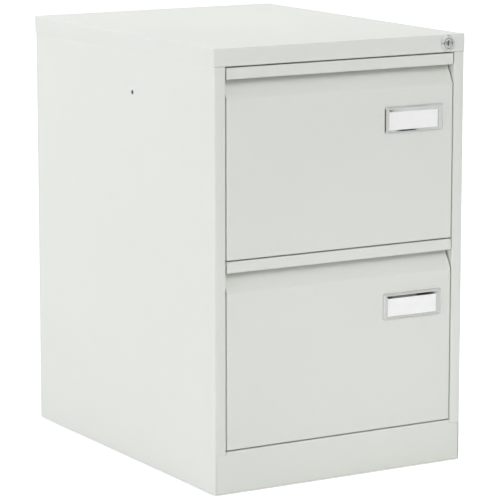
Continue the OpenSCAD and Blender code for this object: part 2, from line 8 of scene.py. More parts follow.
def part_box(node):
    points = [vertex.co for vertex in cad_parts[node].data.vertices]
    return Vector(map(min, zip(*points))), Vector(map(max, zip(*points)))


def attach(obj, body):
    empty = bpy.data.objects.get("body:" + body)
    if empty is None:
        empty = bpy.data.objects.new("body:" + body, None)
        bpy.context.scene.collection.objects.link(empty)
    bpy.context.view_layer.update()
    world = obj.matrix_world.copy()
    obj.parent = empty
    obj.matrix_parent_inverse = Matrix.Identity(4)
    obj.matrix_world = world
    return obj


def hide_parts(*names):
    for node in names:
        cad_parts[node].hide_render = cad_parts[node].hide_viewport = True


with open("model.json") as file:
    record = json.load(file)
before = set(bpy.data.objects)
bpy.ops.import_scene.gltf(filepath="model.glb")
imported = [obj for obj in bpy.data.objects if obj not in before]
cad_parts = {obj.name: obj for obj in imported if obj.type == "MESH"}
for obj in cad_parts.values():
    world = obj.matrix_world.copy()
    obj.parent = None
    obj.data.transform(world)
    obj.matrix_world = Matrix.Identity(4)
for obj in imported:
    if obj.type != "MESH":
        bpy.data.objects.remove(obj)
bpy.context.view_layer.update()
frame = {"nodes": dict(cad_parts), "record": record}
nodes = frame["nodes"]
mm = 0.001
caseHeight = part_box("top_cap")[1].z
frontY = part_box("upper_front_skin")[0].y
print("frame loaded:", len(nodes), "nodes")


# camera, turned round the middle of the case
cameraValues = {
    "azimuth": -30.52,  # degrees, seen from the front left
    "elevation": 10.24,
    "distance": 4.7783,
    "slideRight": 0.01144,
    "slideUp": -0.02821,
    "lens": 202.89,
    "sensorWidth": 36.0,
}


def makeCamera(values):
    azimuth = math.radians(values["azimuth"])
    elevation = math.radians(values["elevation"])
    flat = math.cos(elevation)
    back = Vector((math.sin(azimuth) * flat, -math.cos(azimuth) * flat, math.sin(elevation)))
    right = Vector((math.cos(azimuth), math.sin(azimuth), 0))
    up = back.cross(right)
    data = bpy.data.cameras.new("camera")
    data.sensor_width = values["sensorWidth"]
    data.lens = values["lens"]
    camera = bpy.data.objects.new("camera", data)
    bpy.context.scene.collection.objects.link(camera)
    place = Vector((0, 0, caseHeight / 2)) + back * values["distance"]
    place += right * values["slideRight"] + up * values["slideUp"]
    camera.matrix_world = Matrix.Translation(place) @ Matrix((right, up, back)).transposed().to_4x4()
    bpy.context.scene.camera = camera


makeCamera(cameraValues)
print("camera placed")


# small helpers for node trees
def addNode(tree, kind, inputs=None, **settings):
    node = tree.nodes.new(kind)
    for name, value in settings.items():
        setattr(node, name, value)
    for name, value in (inputs or {}).items():
        node.inputs[name].default_value = value
    return node


def link(tree, start, end):
    tree.links.new(start, end)


def fillSocket(tree, socket, value):
    if isinstance(value, (int, float, tuple)):
        socket.default_value = value
    else:
        link(tree, value, socket)


def mathNode(tree, operation, *terms, clamp=False):
    node = addNode(tree, "ShaderNodeMath", operation=operation, use_clamp=clamp)
    for socket, value in zip(node.inputs, terms):
        fillSocket(tree, socket, value)
    return node.outputs[0]


def rangeNode(tree, value, low, high, outLow=0.0, outHigh=1.0, smooth=False):
    ends = {"From Min": low, "From Max": high, "To Min": outLow, "To Max": outHigh}
    kind = "SMOOTHSTEP" if smooth else "LINEAR"
    node = addNode(tree, "ShaderNodeMapRange", ends, interpolation_type=kind)
    link(tree, value, node.inputs["Value"])
    return node.outputs["Result"]


def noiseNode(tree, vector, scale, detail=2.0, roughness=0.5):
    node = addNode(tree, "ShaderNodeTexNoise", {"Scale": scale, "Detail": detail, "Roughness": roughness})
    link(tree, vector, node.inputs["Vector"])
    return node.outputs["Fac"]


def stretchNode(tree, vector, scale):
    node = addNode(tree, "ShaderNodeMapping", {"Scale": scale})
    link(tree, vector, node.inputs["Vector"])
    return node.outputs["Vector"]


def blendColour(tree, factor, first, second):
    node = addNode(tree, "ShaderNodeMix", data_type="RGBA")
    for place, value in ((0, factor), (6, first), (7, second)):  # the colour sockets of the mix node
        fillSocket(tree, node.inputs[place], value)
    return node.outputs[2]


def objectPlace(tree):
    return addNode(tree, "ShaderNodeTexCoord").outputs["Object"]


def newGroup(name, inputs, outputs):
    group = bpy.data.node_groups.new(name, "ShaderNodeTree")
    for socketName, value in inputs.items():
        socket = group.interface.new_socket(name=socketName, in_out="INPUT", socket_type="NodeSocketFloat")
        socket.default_value = value
    for socketName, kind in outputs.items():
        group.interface.new_socket(name=socketName, in_out="OUTPUT", socket_type=kind)
    return group, group.nodes.new("NodeGroupInput").outputs, group.nodes.new("NodeGroupOutput").inputs


def placeGroup(tree, group, **values):
    node = tree.nodes.new("ShaderNodeGroup")
    node.node_tree = group
    for name, value in values.items():
        node.inputs[name].default_value = value
    return node.outputs


# orange peel and pinholes of a sprayed or plated coat
grainValues = {
    "peelScale": 420,  # waves about 2.5 mm across
    "fineScale": 2100,
    "fineShare": 0.35,
}


def makeCoatGrain(values):
    group, given, result = newGroup("coatGrain", {"Waviness": 1.0, "Pinholes": 1.0},
                                    {"Height": "NodeSocketFloat"})
    place = objectPlace(group)
    waves = noiseNode(group, place, values["peelScale"], detail=1.5, roughness=0.45)
    fine = noiseNode(group, place, values["fineScale"], roughness=0.6)
    peel = mathNode(group, "MULTIPLY", waves, given["Waviness"])
    specks = mathNode(group, "MULTIPLY", fine, values["fineShare"])
    specks = mathNode(group, "MULTIPLY", specks, given["Pinholes"])
    link(group, mathNode(group, "ADD", peel, specks), result["Height"])
    return group


# mask of rubbed bends and cut edges, and a normal that rounds them; on the paint the mask lays a painted
# highlight along the edges
rubAndHighlightValues = {
    "patchScale": 160,
    "patchRange": (0.35, 0.7),
    "turnRange": (0.02, 0.2),  # how far the rounded normal has to turn
}


def makeEdgeRubAndHighlight(values):
    group, given, result = newGroup("edgeRubAndHighlight", {"Width": 0.0012, "Amount": 1.0},
                                    {"Mask": "NodeSocketFloat", "Normal": "NodeSocketVector"})
    geometry = addNode(group, "ShaderNodeNewGeometry").outputs
    bevel = addNode(group, "ShaderNodeBevel", samples=4)
    link(group, given["Width"], bevel.inputs["Radius"])
    alike = addNode(group, "ShaderNodeVectorMath", operation="DOT_PRODUCT")
    link(group, bevel.outputs["Normal"], alike.inputs[0])
    link(group, geometry["Normal"], alike.inputs[1])
    turned = mathNode(group, "SUBTRACT", 1.0, alike.outputs["Value"])
    patches = noiseNode(group, objectPlace(group), values["patchScale"], detail=3.0, roughness=0.6)
    broken = rangeNode(group, patches, *values["patchRange"])
    edge = rangeNode(group, turned, *values["turnRange"])
    mask = mathNode(group, "MULTIPLY", edge, broken)
    mask = mathNode(group, "MULTIPLY", mask, given["Amount"], clamp=True)
    link(group, mask, result["Mask"])
    link(group, bevel.outputs["Normal"], result["Normal"])
    return group


# dust that settles on faces that look up
dustValues = {
    "cloudScale": 9,
    "cloudRange": (0.4, 0.75),
    "cloudShare": 0.6,
    "speckScale": 900,
    "speckRange": (0.6, 0.75),
    "speckShare": 0.4,
    "steepest": 0.4,  # upward part of the normal where dust begins to hold
}


def makeSettledDust(values):
    group, given, result = newGroup("settledDust", {"Amount": 0.3}, {"Mask": "NodeSocketFloat"})
    parts = addNode(group, "ShaderNodeSeparateXYZ")
    link(group, addNode(group, "ShaderNodeNewGeometry").outputs["Normal"], parts.inputs[0])
    facingUp = rangeNode(group, parts.outputs["Z"], values["steepest"], 1.0, smooth=True)
    place = objectPlace(group)
    clouds = noiseNode(group, place, values["cloudScale"], detail=4.0, roughness=0.6)
    specks = noiseNode(group, place, values["speckScale"], detail=1.0)
    clouds = rangeNode(group, clouds, *values["cloudRange"])
    specks = rangeNode(group, specks, *values["speckRange"])
    clouds = mathNode(group, "MULTIPLY", clouds, values["cloudShare"])
    specks = mathNode(group, "MULTIPLY", specks, values["speckShare"])
    mask = mathNode(group, "MULTIPLY", facingUp, mathNode(group, "ADD", clouds, specks))
    link(group, mathNode(group, "MULTIPLY", mask, given["Amount"], clamp=True), result["Mask"])
    return group


# uneven gloss and tone from use
def makeHandling():
    group, given, result = newGroup("handling", {"Scale": 14.0, "Spread": 0.04},
                                    {"Roughness Shift": "NodeSocketFloat", "Tone": "NodeSocketFloat"})
    broad = addNode(group, "ShaderNodeTexNoise", {"Detail": 3.0, "Roughness": 0.55})
    link(group, objectPlace(group), broad.inputs["Vector"])
    link(group, given["Scale"], broad.inputs["Scale"])
    swing = mathNode(group, "SUBTRACT", broad.outputs["Fac"], 0.5)
    link(group, mathNode(group, "MULTIPLY", swing, given["Spread"]), result["Roughness Shift"])
    link(group, broad.outputs["Fac"], result["Tone"])
    return group


# rolling lines and zinc spangle
rolledValues = {
    "lineStretch": (1500, 18, 1500),  # the lines run front to back
    "spangleScale": 260,
    "lineShare": 0.6,
    "spangleShare": 0.4,
}


def makeRolledGrain(values):
    group, given, result = newGroup("rolledGrain", {"Fineness": 1.0},
                                    {"Height": "NodeSocketFloat", "Streaks": "NodeSocketFloat"})
    scaled = addNode(group, "ShaderNodeVectorMath", operation="SCALE")
    link(group, objectPlace(group), scaled.inputs[0])
    link(group, given["Fineness"], scaled.inputs["Scale"])
    along = stretchNode(group, scaled.outputs["Vector"], values["lineStretch"])
    lines = noiseNode(group, along, 1.0, detail=3.0, roughness=0.6)
    spangle = addNode(group, "ShaderNodeTexVoronoi", {"Scale": values["spangleScale"]})
    link(group, scaled.outputs["Vector"], spangle.inputs["Vector"])
    parts = addNode(group, "ShaderNodeSeparateColor")
    link(group, spangle.outputs["Color"], parts.inputs[0])
    link(group, lines, result["Height"])
    fromLines = mathNode(group, "MULTIPLY", lines, values["lineShare"])
    fromSpangle = mathNode(group, "MULTIPLY", parts.outputs[0], values["spangleShare"])
    link(group, mathNode(group, "ADD", fromLines, fromSpangle), result["Streaks"])
    return group


coatGrain = makeCoatGrain(grainValues)
edgeRubAndHighlight = makeEdgeRubAndHighlight(rubAndHighlightValues)
settledDust = makeSettledDust(dustValues)
handling = makeHandling()
rolledGrain = makeRolledGrain(rolledValues)
print("shared effects built")


def newMaterial(name, **constants):
    material = bpy.data.materials.new(name)
    material.use_nodes = True
    tree = material.node_tree
    shader = tree.nodes["Principled BSDF"]
    for socket, value in constants.items():
        shader.inputs[socket.replace("_", " ")].default_value = value
    return material, tree, shader


def bumpInto(tree, shader, height, distance, strength=1.0, normal=None):
    bump = addNode(tree, "ShaderNodeBump", {"Strength": strength, "Distance": distance})
    link(tree, height, bump.inputs["Height"])
    if normal is not None:
        link(tree, normal, bump.inputs["Normal"])
    link(tree, bump.outputs["Normal"], shader.inputs["Normal"])


# satin powder coat, light goose grey
paintValues = {
    "colour": (0.762, 0.790, 0.736, 1),
    "edgeHighlightColour": (0.86, 0.87, 0.84, 1),  # painted highlight: lighter paint along bends and cut edges
    "dustColour": (0.74, 0.73, 0.70, 1),
    "roughness": 0.46,
    "glossScale": 5.0,
    "glossSpread": 0.07,
    "edgeWidth": 0.9 * mm,
    "rubAndHighlight": 0.5,
    "dust": 0.10,
    "dustRoughness": 0.4,
    "peelHeight": 0.02 * mm,
}


def makePaint(name, values, toneSpread):
    material, tree, shader = newMaterial(name, Specular_IOR_Level=0.42, IOR=1.5)
    use = placeGroup(tree, handling, Scale=values["glossScale"], Spread=values["glossSpread"])
    rubAndHighlight = placeGroup(tree, edgeRubAndHighlight, Width=values["edgeWidth"], Amount=values["rubAndHighlight"])
    dust = placeGroup(tree, settledDust, Amount=values["dust"])
    grain = placeGroup(tree, coatGrain)
    light = tuple(part * (1 + toneSpread) for part in values["colour"][:3]) + (1,)
    colour = blendColour(tree, use["Tone"], values["colour"], light)
    # painted highlight: lighter paint along bends and cut edges, broken in patches
    colour = blendColour(tree, rubAndHighlight["Mask"], colour, values["edgeHighlightColour"])
    colour = blendColour(tree, dust["Mask"], colour, values["dustColour"])
    link(tree, colour, shader.inputs["Base Color"])
    rough = mathNode(tree, "ADD", use["Roughness Shift"], values["roughness"])
    dusty = mathNode(tree, "MULTIPLY", dust["Mask"], values["dustRoughness"])
    link(tree, mathNode(tree, "ADD", rough, dusty, clamp=True), shader.inputs["Roughness"])
    bumpInto(tree, shader, grain["Height"], values["peelHeight"], normal=rubAndHighlight["Normal"])
    return material


# zinc plate on the runners
zincValues = {
    "light": (0.66, 0.67, 0.69, 1),
    "dark": (0.50, 0.51, 0.535, 1),
    "worn": (0.78, 0.79, 0.8, 1),
    "roughness": 0.3,
    "fineness": 1.0,
    "streakRange": (0.3, 0.7),
    "glossScale": 30.0,
    "glossSpread": 0.2,
    "edgeWidth": 0.4 * mm,
    "dust": 0.2,
    "dustRoughness": 0.5,
    "lineHeight": 0.004 * mm,
}

# brackets, bars, nuts and rivets
platedValues = dict(zincValues, light=(0.62, 0.63, 0.65, 1), dark=(0.45, 0.46, 0.485, 1), roughness=0.38,
                    fineness=0.7)


def makeZinc(name, values):
    material, tree, shader = newMaterial(name, Metallic=1.0)
    grain = placeGroup(tree, rolledGrain, Fineness=values["fineness"])
    use = placeGroup(tree, handling, Scale=values["glossScale"], Spread=values["glossSpread"])
    dust = placeGroup(tree, settledDust, Amount=values["dust"])
    rubAndHighlight = placeGroup(tree, edgeRubAndHighlight, Width=values["edgeWidth"])
    streaks = rangeNode(tree, grain["Streaks"], *values["streakRange"])
    colour = blendColour(tree, streaks, values["dark"], values["light"])
    colour = blendColour(tree, rubAndHighlight["Mask"], colour, values["worn"])
    link(tree, colour, shader.inputs["Base Color"])
    rough = mathNode(tree, "ADD", use["Roughness Shift"], values["roughness"])
    dusty = mathNode(tree, "MULTIPLY", dust["Mask"], values["dustRoughness"])
    link(tree, mathNode(tree, "ADD", rough, dusty, clamp=True), shader.inputs["Roughness"])
    bumpInto(tree, shader, grain["Height"], values["lineHeight"], normal=rubAndHighlight["Normal"])
    return material


# polished bearing steel with a film of grease in places
ballValues = {
    "clean": (0.72, 0.73, 0.75, 1),
    "greased": (0.40, 0.37, 0.30, 1),
    "roughness": 0.12,
    "filmRoughness": 0.3,
    "filmRange": (0.55, 0.75),
    "glossScale": 400.0,
    "glossSpread": 0.1,
    "grainHeight": 0.003 * mm,
}


def makeBallSteel(values):
    material, tree, shader = newMaterial("ballSteel", Metallic=1.0)
    use = placeGroup(tree, handling, Scale=values["glossScale"], Spread=values["glossSpread"])
    film = rangeNode(tree, use["Tone"], *values["filmRange"])
    link(tree, blendColour(tree, film, values["clean"], values["greased"]), shader.inputs["Base Color"])
    rough = mathNode(tree, "ADD", use["Roughness Shift"], values["roughness"])
    greasy = mathNode(tree, "MULTIPLY", film, values["filmRoughness"])
    link(tree, mathNode(tree, "ADD", rough, greasy), shader.inputs["Roughness"])
    grain = placeGroup(tree, coatGrain, Waviness=0.3, Pinholes=0.5)
    bumpInto(tree, shader, grain["Height"], values["grainHeight"])
    return material


# bright chrome plate
chromeValues = {
    "bright": (0.61, 0.62, 0.6, 1),
    "dull": (0.53, 0.54, 0.52, 1),
    "worn": (0.78, 0.78, 0.78, 1),
    "roughness": 0.06,
    "glossScale": 60.0,
    "glossSpread": 0.08,
    "edgeWidth": 0.35 * mm,
    "rubAndHighlight": 0.6,
    "waveHeight": 0.004 * mm,
}


def makeChrome(values):
    material, tree, shader = newMaterial("brightChrome", Metallic=1.0)
    use = placeGroup(tree, handling, Scale=values["glossScale"], Spread=values["glossSpread"])
    rubAndHighlight = placeGroup(tree, edgeRubAndHighlight, Width=values["edgeWidth"], Amount=values["rubAndHighlight"])
    colour = blendColour(tree, use["Tone"], values["bright"], values["dull"])
    colour = blendColour(tree, rubAndHighlight["Mask"], colour, values["worn"])
    link(tree, colour, shader.inputs["Base Color"])
    rough = mathNode(tree, "ADD", use["Roughness Shift"], values["roughness"], clamp=True)
    link(tree, rough, shader.inputs["Roughness"])
    grain = placeGroup(tree, coatGrain, Pinholes=0.1)
    bumpInto(tree, shader, grain["Height"], values["waveHeight"])
    return material


# plain white card behind the label frame
cardValues = {
    "paper": (0.99, 0.99, 0.98, 1),
    "fibre": (0.97, 0.975, 0.965, 1),
    "roughness": 0.42,
    "roughnessSpread": 0.05,
    "fibreStretch": (900, 900, 2600),
    "fibreRange": (0.15, 0.4),
    "cloudScale": 60,
    "cloudRange": (0.3, 0.7),
    "fibreHeight": 0.01 * mm,
}


def makeCard(values):
    material, tree, shader = newMaterial("cardPaper", Specular_IOR_Level=0.4)
    place = objectPlace(tree)
    along = stretchNode(tree, place, values["fibreStretch"])
    fibres = noiseNode(tree, along, 1.0, detail=4.0, roughness=0.65)
    clouds = noiseNode(tree, place, values["cloudScale"])
    mixed = rangeNode(tree, mathNode(tree, "MULTIPLY", fibres, clouds), *values["fibreRange"])
    link(tree, blendColour(tree, mixed, values["fibre"], values["paper"]), shader.inputs["Base Color"])
    smoothest = values["roughness"] - values["roughnessSpread"]
    roughest = values["roughness"] + values["roughnessSpread"]
    rough = rangeNode(tree, clouds, *values["cloudRange"], smoothest, roughest)
    link(tree, rough, shader.inputs["Roughness"])
    bumpInto(tree, shader, fibres, values["fibreHeight"], strength=0.6)
    return material


# moulded nylon pads of the feet
nylonValues = {
    "colour": (0.045, 0.046, 0.05, 1),
    "scuffed": (0.12, 0.12, 0.125, 1),
    "dustColour": (0.3, 0.29, 0.27, 1),
    "roughness": 0.5,
    "glossScale": 80.0,
    "glossSpread": 0.15,
    "edgeWidth": 1.2 * mm,
    "dust": 0.5,
    "grainHeight": 0.03 * mm,
}


def makeNylon(values):
    material, tree, shader = newMaterial("footNylon", Specular_IOR_Level=0.45)
    rubAndHighlight = placeGroup(tree, edgeRubAndHighlight, Width=values["edgeWidth"])
    dust = placeGroup(tree, settledDust, Amount=values["dust"])
    use = placeGroup(tree, handling, Scale=values["glossScale"], Spread=values["glossSpread"])
    grain = placeGroup(tree, coatGrain, Waviness=0.5, Pinholes=2.0)
    colour = blendColour(tree, rubAndHighlight["Mask"], values["colour"], values["scuffed"])
    colour = blendColour(tree, dust["Mask"], colour, values["dustColour"])
    link(tree, colour, shader.inputs["Base Color"])
    rough = mathNode(tree, "ADD", use["Roughness Shift"], values["roughness"])
    link(tree, rough, shader.inputs["Roughness"])
    bumpInto(tree, shader, grain["Height"], values["grainHeight"], normal=rubAndHighlight["Normal"])
    return material


# keyed by the record's slots
materials = {
    "case_paint": makePaint("casePaint", paintValues, 0.008),
    "drawer_paint": makePaint("drawerPaint", paintValues, 0.014),
    "runner_zinc": makeZinc("runnerZinc", zincValues),
    "plated_steel": makeZinc("platedSteel", platedValues),
    "ball_steel": makeBallSteel(ballValues),
    "bright_chrome": makeChrome(chromeValues),
    "card": makeCard(cardValues),
    "foot_plastic": makeNylon(nylonValues),
}
print("materials built:", len(materials))


# every node of the frame gets its finish and smooth bends
bendValues = {
    "sharpest": 32,  # degrees; bends are turned in smaller steps than this
    "mergeDistance": 0.002 * mm,
}


def makeSmoothBends(values):
    group = bpy.data.node_groups.new("smoothBends", "GeometryNodeTree")
    for direction in ("INPUT", "OUTPUT"):
        group.interface.new_socket(name="Geometry", in_out=direction, socket_type="NodeSocketGeometry")
    start = group.nodes.new("NodeGroupInput")
    end = group.nodes.new("NodeGroupOutput")
    merge = addNode(group, "GeometryNodeMergeByDistance", {"Distance": values["mergeDistance"]})
    faces = addNode(group, "GeometryNodeSetShadeSmooth", {"Shade Smooth": True}, domain="FACE")
    edges = addNode(group, "GeometryNodeSetShadeSmooth", domain="EDGE")
    angle = group.nodes.new("GeometryNodeInputMeshEdgeAngle")
    limit = {"B": math.radians(values["sharpest"])}
    gentle = addNode(group, "FunctionNodeCompare", limit, data_type="FLOAT", operation="LESS_THAN")
    link(group, start.outputs[0], merge.inputs["Geometry"])
    link(group, merge.outputs[0], faces.inputs["Geometry"])
    link(group, faces.outputs[0], edges.inputs["Geometry"])
    link(group, angle.outputs["Unsigned Angle"], gentle.inputs["A"])
    link(group, gentle.outputs[0], edges.inputs["Shade Smooth"])
    link(group, edges.outputs[0], end.inputs[0])
    return group


smoothBends = makeSmoothBends(bendValues)
slotOf = {part["node"]: part["material_slot"] for part in frame["record"]["subparts"]}


def finishNode(name, obj):
    for attribute in ("custom_normal", "sharp_edge", "sharp_face"):
        if attribute in obj.data.attributes:
            obj.data.attributes.remove(obj.data.attributes[attribute])
    modifier = obj.modifiers.new("smoothBends", "NODES")
    modifier.node_group = smoothBends
    for slot in obj.material_slots:
        slot.material = materials[slotOf[name]]


for name, obj in nodes.items():
    finishNode(name, obj)
print("finishes given to the frame")


# mesh helpers
def roundedLoop(low, high, radius, steps=6, ease=0.0):
    corners = ((high[0] - radius, high[1] - radius, 0), (low[0] + radius, high[1] - radius, 90),
               (low[0] + radius, low[1] + radius, 180), (high[0] - radius, low[1] + radius, 270))
    points = []
    for centreX, centreZ, start in corners:
        arc = []
        for step in range(steps + 1):
            angle = math.radians(start + 90 * step / steps)
            arc.append((centreX + radius * math.cos(angle), centreZ + radius * math.sin(angle)))
        if ease:  # a point just outside each end of the arc keeps the straight sides flat in shading
            first = math.radians(start)
            last = math.radians(start + 90)
            arc.insert(0, (arc[0][0] + ease * math.sin(first), arc[0][1] - ease * math.cos(first)))
            arc.append((arc[-1][0] - ease * math.sin(last), arc[-1][1] + ease * math.cos(last)))
        points += arc
    return points


def ringPoints(centreX, centreZ, radius, y, segments):
    turns = [2 * math.pi * k / segments for k in range(segments)]
    return [(centreX + radius * math.cos(turn), y, centreZ + radius * math.sin(turn)) for turn in turns]


def bridgeLoops(bm, first, second):
    for k in range(len(first)):
        after = (k + 1) % len(first)
        bm.faces.new((first[k], first[after], second[after], second[k]))


def skinLoops(bm, loops):
    rings = [[bm.verts.new(point) for point in loop] for loop in loops]
    for first, second in zip(rings, rings[1:] + rings[:1]):
        bridgeLoops(bm, first, second)


def newPiece(name, bm, body, slotName, replaced, sharpest):
    bmesh.ops.recalc_face_normals(bm, faces=bm.faces)
    for face in bm.faces:
        face.smooth = True
    for edge in bm.edges:
        edge.smooth = len(edge.link_faces) == 2 and edge.calc_face_angle(0) < math.radians(sharpest)
    mesh = bpy.data.meshes.new(name)
    bm.to_mesh(mesh)
    bm.free()
    mesh.materials.append(materials[slotName])
    piece = bpy.data.objects.new(name, mesh)
    bpy.context.scene.collection.objects.link(piece)
    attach(piece, body)
    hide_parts(replaced)


# pressed chrome frame that holds the label card
holderValues = {
    "sideBorder": 9 * mm,
    "topBorder": 9.2 * mm,
    "bottomBorder": 4.8 * mm,
    "outerRadius": 2.2 * mm,
    "innerRadius": 1.0 * mm,
    "ease": 0.5 * mm,
    # share of the border from the rim inwards, then height above the drawer as a share of the whole
    "profile": ((0, 0), (0, 0.35), (0.05, 0.6), (0.13, 0.82), (0.22, 0.95), (0.31, 1.0), (0.40, 0.985),
                (0.50, 0.9), (0.65, 0.74), (0.82, 0.58), (0.93, 0.47), (0.98, 0.41), (1.0, 0.34),
                (1.0, 0.28)),
    "lipDepth": 0.25 * mm,
    "lipShares": (1.0, 0.9),
    "backProfile": ((0.35, 0.3), (0.06, 0)),
}


def makeHolder(drawer, values):
    low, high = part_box(drawer + "_label_holder")
    proud = high.y - low.y
    windowLow = (low.x + values["sideBorder"], low.z + values["bottomBorder"])
    windowHigh = (high.x - values["sideBorder"], high.z - values["topBorder"])

    def loopAt(share, y):
        near = (low.x + share * (windowLow[0] - low.x), low.z + share * (windowLow[1] - low.z))
        far = (high.x + share * (windowHigh[0] - high.x), high.z + share * (windowHigh[1] - high.z))
        radius = values["outerRadius"] + share * (values["innerRadius"] - values["outerRadius"])
        return [(x, y, z) for x, z in roundedLoop(near, far, radius, ease=values["ease"])]

    lipY = high.y - values["profile"][-1][1] * proud + values["lipDepth"]
    loops = [loopAt(share, high.y - height * proud) for share, height in values["profile"]]
    loops += [loopAt(share, lipY) for share in values["lipShares"]]
    loops += [loopAt(share, high.y - height * proud) for share, height in values["backProfile"]]
    bm = bmesh.new()
    skinLoops(bm, loops)
    newPiece(drawer + "LabelFrame", bm, drawer + "_drawer", "bright_chrome", drawer + "_label_holder",
             sharpest=50)


# card with a slight bow, held behind the frame
cardShape = {
    "bow": 0.12 * mm,
    "nearShare": 0.9,  # the front face bows this share as far as the back face
    "rows": 8,
    "columns": 24,
}


def makeLabelCard(drawer, values):
    low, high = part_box(drawer + "_label_card")
    rows, columns = values["rows"], values["columns"]
    middle = (low.x + high.x) / 2
    half = (high.x - low.x) / 2
    bm = bmesh.new()

    def makeSheet(y, share):
        grid = []
        for row in range(rows + 1):
            z = low.z + (high.z - low.z) * row / rows
            line = []
            for column in range(columns + 1):
                x = low.x + (high.x - low.x) * column / columns
                bow = share * values["bow"] * (1 - ((x - middle) / half) ** 2)
                line.append(bm.verts.new((x, y - bow, z)))
            grid.append(line)
        for lower, upper in zip(grid, grid[1:]):
            for k in range(columns):
                bm.faces.new((lower[k], lower[k + 1], upper[k + 1], upper[k]))
        right = [line[-1] for line in grid[1:]]
        left = [line[0] for line in grid[-2:0:-1]]
        return grid[0] + right + grid[-1][-2::-1] + left

    nearRim = makeSheet(low.y + values["bow"], values["nearShare"])
    farRim = makeSheet(high.y, 1)
    bridgeLoops(bm, nearRim, farRim)
    newPiece(drawer + "Card", bm, drawer + "_drawer", "card", drawer + "_label_card", sharpest=40)


for drawer in ("upper", "lower"):
    makeHolder(drawer, holderValues)
    makeLabelCard(drawer, cardShape)
print("label frames and cards made")


# lock: turned bezel and barrel, and the core with its keyway
lockValues = {
    "segments": 96,
    # distance inside the bezel's rim and height above the case, both in mm, from the rim inwards
    "bezelProfile": ((0, 0), (0, 0.45), (0.2, 0.7), (0.7, 0.95), (1.5, 1.3), (2.2, 1.65), (2.6, 2.05),
                     (2.85, 2.5), (3.3, 2.85), (3.9, 3.0), (4.5, 2.9), (4.9, 2.65), (5.15, 2.2), (5.35, 1.7),
                     (5.5, 1.3)),
    "throatHeight": 1.2 * mm,
    "coreFit": 0.05 * mm,
    "barrelWall": 1.45 * mm,
    # distance inside the core's face and depth behind it, both in mm, along its rounded edge
    "coreEdge": ((0.4, 0), (0.12, 0.1), (0, 0.4)),
    "coreStep": 0.9 * mm,  # the core's face is this much smaller than its barrel
    "stepDepth": 1.5 * mm,
    "keywayHeight": 9 * mm,
    "keywayWidth": 1.8 * mm,
    "keywayDepth": 12 * mm,
    "keywayRadius": 0.3 * mm,
    "keywayChamfer": 0.35 * mm,
    "keywayLean": 9,  # degrees, while unlocked
}


def makeLockHousing(values):
    low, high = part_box("lock_housing")
    coreLow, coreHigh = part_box("lock_core")
    outer = (high.x - low.x) / 2
    inner = (coreHigh.x - coreLow.x) / 2 + values["coreFit"]
    barrel = inner + values["barrelWall"]
    profile = [(outer - inset * mm, frontY - height * mm) for inset, height in values["bezelProfile"]]
    profile += [(inner, frontY - values["throatHeight"]), (inner, high.y)]
    profile += [(barrel, high.y), (barrel, frontY)]
    centreX = (low.x + high.x) / 2
    centreZ = (low.z + high.z) / 2
    bm = bmesh.new()
    skinLoops(bm, [ringPoints(centreX, centreZ, radius, y, values["segments"]) for radius, y in profile])
    newPiece("lockHousing", bm, "carcass", "bright_chrome", "lock_housing", sharpest=40)


def makeLockCore(values):
    low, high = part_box("lock_core")
    centreX = (low.x + high.x) / 2
    centreZ = (low.z + high.z) / 2
    radius = (high.x - low.x) / 2
    chamfer = values["keywayChamfer"]
    lean = math.radians(values["keywayLean"])
    bm = bmesh.new()

    def slotPoints(grow, y):
        half = (values["keywayWidth"] / 2 + grow, values["keywayHeight"] / 2 + grow)
        loop = roundedLoop((-half[0], -half[1]), half, values["keywayRadius"] + grow, steps=4)
        return [(centreX + x * math.cos(lean) + z * math.sin(lean), y,
                 centreZ + z * math.cos(lean) - x * math.sin(lean)) for x, z in loop]

    face = radius - values["coreStep"]
    step = low.y + values["stepDepth"]
    outline = [(face - inset * mm, low.y + depth * mm) for inset, depth in values["coreEdge"]]
    outline += [(face, step), (radius, step), (radius, high.y)]
    outside = [ringPoints(centreX, centreZ, size, y, values["segments"]) for size, y in outline]
    slot = [slotPoints(chamfer, low.y), slotPoints(0, low.y + chamfer),
            slotPoints(0, low.y + values["keywayDepth"])]
    rims = []
    for loops in (outside, slot):
        rings = [[bm.verts.new(point) for point in loop] for loop in loops]
        for first, second in zip(rings, rings[1:]):
            bridgeLoops(bm, first, second)
        bm.faces.new(rings[-1])
        rims += [bm.edges.get((rings[0][k - 1], rings[0][k])) for k in range(len(rings[0]))]
    bmesh.ops.triangle_fill(bm, use_beauty=True, use_dissolve=False, edges=rims)
    newPiece("lockCore", bm, "lock_core", "bright_chrome", "lock_core", sharpest=30)


makeLockHousing(lockValues)
makeLockCore(lockValues)
print("lock made")


# plain floor and soft light
stageValues = {
    "floorSize": 20.0,
    "floorColour": (0.92, 0.92, 0.92, 1),
    "nearLift": 0.45,  # camera rays see the floor this much lighter beside the case
    "farLift": 1.0,  # and this much further off
    "nearEdge": 1.0,  # metres from the middle of the case
    "farEdge": 3.2,
    "floorGlint": 0.15,  # and mirror rays see it this much lighter
    "ambient": (0.03, 0.03, 0.03, 1),
    "lampFace": 1.3,  # how bright a lamp looks in chrome
    "faceMargin": 1.04,  # its bright face is this much wider than the lamp
    "faceGap": 0.04,  # and this far before it
}

